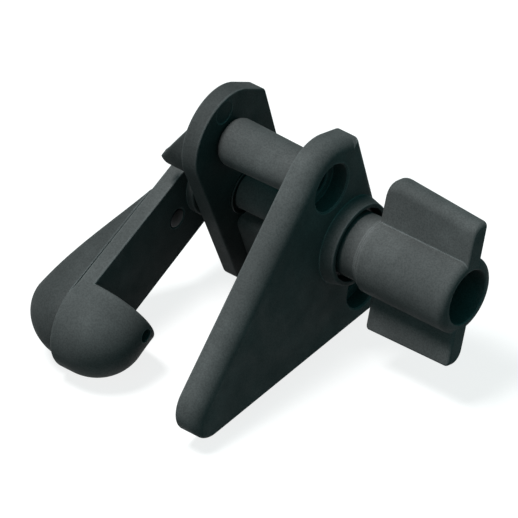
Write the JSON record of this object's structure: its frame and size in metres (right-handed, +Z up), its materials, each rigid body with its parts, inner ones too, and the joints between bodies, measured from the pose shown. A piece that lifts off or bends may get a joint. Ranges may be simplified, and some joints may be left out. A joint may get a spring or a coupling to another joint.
{
  "type": "gate latch",
  "caption": "Moulded black latch bracket with two spaced cheeks, a swinging hook arm with a teardrop grip, and a wing knob that clamps the arm.",
  "frame": {"origin": "on the axis of the upper mounting bolt hole, midway between the two cheeks", "axes": "+X along the bolt holes towards the wing knob, +Y towards the back edges, +Z up"},
  "size_m": [0.1018, 0.086, 0.0672],
  "materials": {
    "moulded_black": "moulded, satin",
    "moulded_charcoal": "moulded, satin",
    "acetal_jet": "turned, satin",
    "zinc_steel": "zinc plated",
    "brass": "turned"
  },
  "bodies": {
    "frame": {"outer_cheek": "moulded_black", "inner_cheek": "moulded_charcoal", "upper_spacer_tube": "moulded_black", "lower_spacer_block": "moulded_charcoal", "pivot_bush": "acetal_jet", "friction_washer": "acetal_jet"},
    "arm": {"hook_arm": "moulded_black", "grip_cover": "moulded_charcoal", "cover_screws": "zinc_steel", "pivot_sleeve": "moulded_black", "clamp_bolt": "zinc_steel"},
    "washer": {"thrust_washer": "zinc_steel"},
    "knob": {"wing_knob": "moulded_black", "knob_insert": "brass"}
  },
  "joints": [
    {"name": "arm_swing", "type": "hinge", "parent": "frame", "child": "arm", "pos_m": [0, 0.00704, -0.02105], "axis": [1, 0, 0], "range_deg": [-22, 80]},
    {"name": "washer_slide", "type": "slide", "parent": "frame", "child": "washer", "axis": [1, 0, 0], "range_m": [0, 0.003]},
    {"name": "knob_turn", "type": "hinge", "parent": "washer", "child": "knob", "pos_m": [0, 0.00704, -0.02105], "axis": [1, 0, 0], "range_deg": [0, 1080]}
  ],
  "couplings": [
    {"joint": "knob_turn", "follows": "washer_slide", "rad_per_m": 6283}
  ]
}
